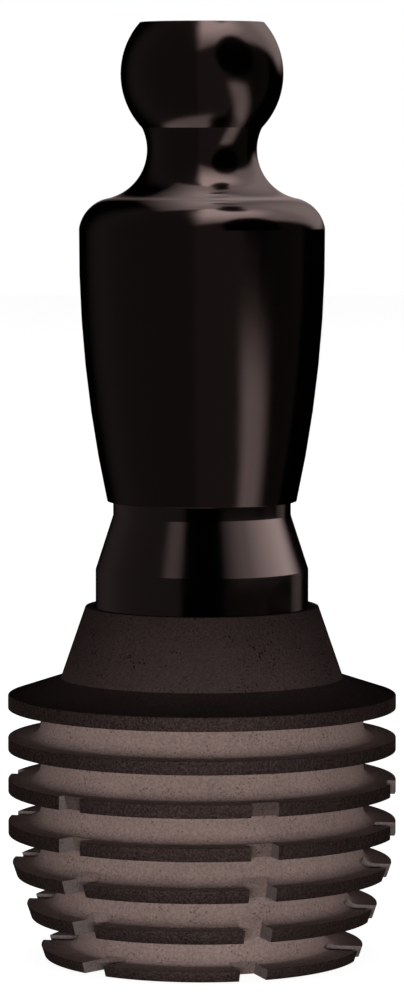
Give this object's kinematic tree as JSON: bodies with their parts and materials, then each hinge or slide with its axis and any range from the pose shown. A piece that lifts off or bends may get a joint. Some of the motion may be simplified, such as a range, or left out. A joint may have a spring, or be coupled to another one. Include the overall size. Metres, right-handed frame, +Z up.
{
  "type": "dental implant",
  "caption": "Short finned press-fit dental implant with slotted root, conical collar and tapered well, on a black insertion post with a pull-off ball-ended knob.",
  "frame": {"origin": "centre of the implant's flat base", "axes": "+Z up along the implant's axis, from the base to the top of the carrier's ball; -Y faces the picture's camera"},
  "size_m": [0.006, 0.006, 0.0144],
  "materials": {
    "blasted_titanium": "matt, finely pitted by blasting and etching, light in the grooves and dark brown-grey on the fin rims and collar",
    "post_plastic": "gloss black",
    "knob_plastic": "gloss black with a slight warm brown tint"
  },
  "bodies": {
    "implant": {"implant_body": "blasted_titanium"},
    "post": {"carrier_post": "post_plastic"},
    "knob": {"insertion_knob": "knob_plastic"}
  },
  "joints": [
    {"name": "post_pull", "type": "slide", "parent": "implant", "child": "post", "axis": [0, 0, 1], "range_m": [0, 0.0035]},
    {"name": "knob_pull", "type": "slide", "parent": "post", "child": "knob", "axis": [0, 0, 1], "range_m": [0, 0.0026]}
  ]
}
